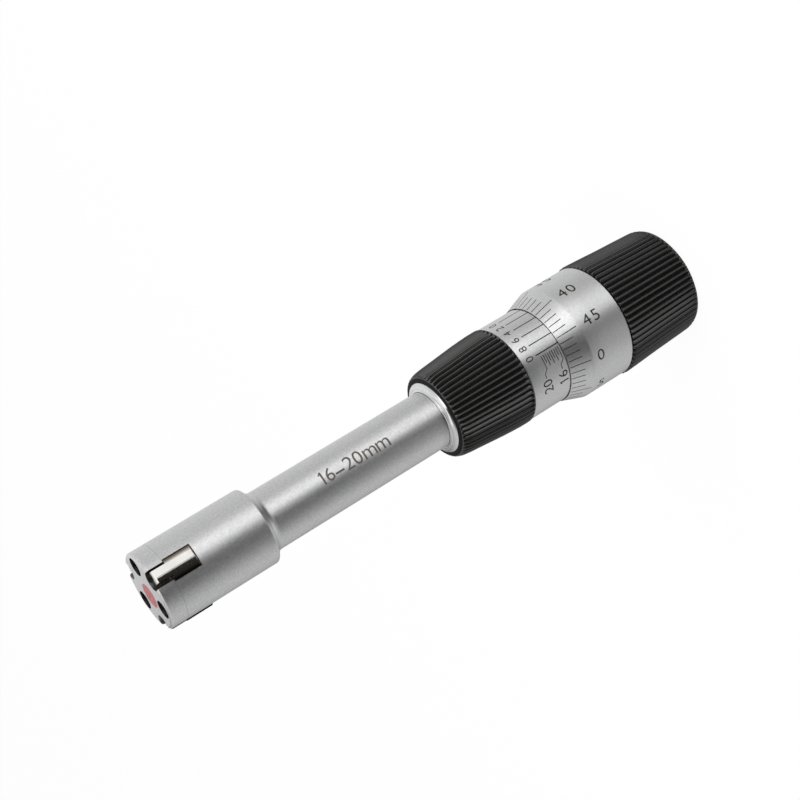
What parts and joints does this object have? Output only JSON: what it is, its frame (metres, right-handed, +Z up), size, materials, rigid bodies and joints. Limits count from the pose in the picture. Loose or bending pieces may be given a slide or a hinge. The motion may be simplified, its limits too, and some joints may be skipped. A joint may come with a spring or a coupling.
{
  "type": "inside micrometer",
  "caption": "Bore micrometer with a round measuring head, sliding anvils, slim neck, ribbed grips, graduated sleeve, bevelled thimble and ratchet knob.",
  "frame": {"origin": "centre of the flat end of the ratchet knob, which the instrument stands on", "axes": "+Z up along the spindle axis towards the measuring head; -Y faces the zero line of the sleeve"},
  "size_m": [0.0239, 0.0238, 0.1202],
  "materials": {
    "satin_chrome": "satin",
    "bright_chrome": "polished",
    "hardened_steel": "ground and polished",
    "turned_steel": "turned",
    "dark_steel": "blackened",
    "spring_steel": "drawn wire",
    "bronze": "bored",
    "red_enamel": "satin",
    "black_grip": "matte, ribbed",
    "black_plate": "matte"
  },
  "bodies": {
    "frame": {"head_body": "satin_chrome", "head_cap": "satin_chrome", "cap_screws": "dark_steel", "centre_disc": "red_enamel", "rod_bush": "bronze", "rod_spring": "spring_steel", "collar": "bright_chrome", "barrel": "turned_steel", "thread_nut": "turned_steel", "sleeve": "satin_chrome", "front_grip": "black_grip"},
    "cone_rod": {"cone": "hardened_steel", "push_rod": "hardened_steel", "rod_ball": "hardened_steel"},
    "anvil_a": {"anvil_1": "hardened_steel"},
    "anvil_b": {"anvil_2": "hardened_steel"},
    "anvil_c": {"anvil_3": "hardened_steel"},
    "thimble_spindle": {"spindle": "hardened_steel", "thimble": "satin_chrome", "ratchet_washer": "turned_steel", "ratchet_stud": "turned_steel"},
    "knob": {"ratchet_plate": "turned_steel", "ratchet_spring": "spring_steel", "knob_core": "turned_steel", "rear_grip": "black_grip", "end_disc": "black_plate"}
  },
  "joints": [
    {"name": "cone_slide", "type": "slide", "parent": "frame", "child": "cone_rod", "axis": [0, 0, 1], "range_m": [0, 0.00455], "deforming": ["rod_spring"]},
    {"name": "thimble_turn", "type": "hinge", "parent": "cone_rod", "child": "thimble_spindle", "pos_m": [0, 0, 0.025], "axis": [0, 0, 1], "range_deg": [0, 3273.77]},
    {"name": "knob_turn", "type": "hinge", "parent": "thimble_spindle", "child": "knob", "pos_m": [0, 0, 0.01], "axis": [0, 0, 1], "continuous": true},
    {"name": "anvil_a_slide", "type": "slide", "parent": "frame", "child": "anvil_a", "axis": [0.1805, -0.9836, 0], "range_m": [0, 0.00228]},
    {"name": "anvil_b_slide", "type": "slide", "parent": "frame", "child": "anvil_b", "axis": [-0.9421, 0.3355, 0], "range_m": [0, 0.00228]},
    {"name": "anvil_c_slide", "type": "slide", "parent": "frame", "child": "anvil_c", "axis": [0.7615, 0.6481, 0], "range_m": [0, 0.00228]}
  ],
  "couplings": [
    {"joint": "thimble_turn", "follows": "cone_slide", "rad_per_m": 12566},
    {"joint": "anvil_a_slide", "follows": "cone_slide", "ratio": 0.5},
    {"joint": "anvil_b_slide", "follows": "cone_slide", "ratio": 0.5},
    {"joint": "anvil_c_slide", "follows": "cone_slide", "ratio": 0.5}
  ]
}
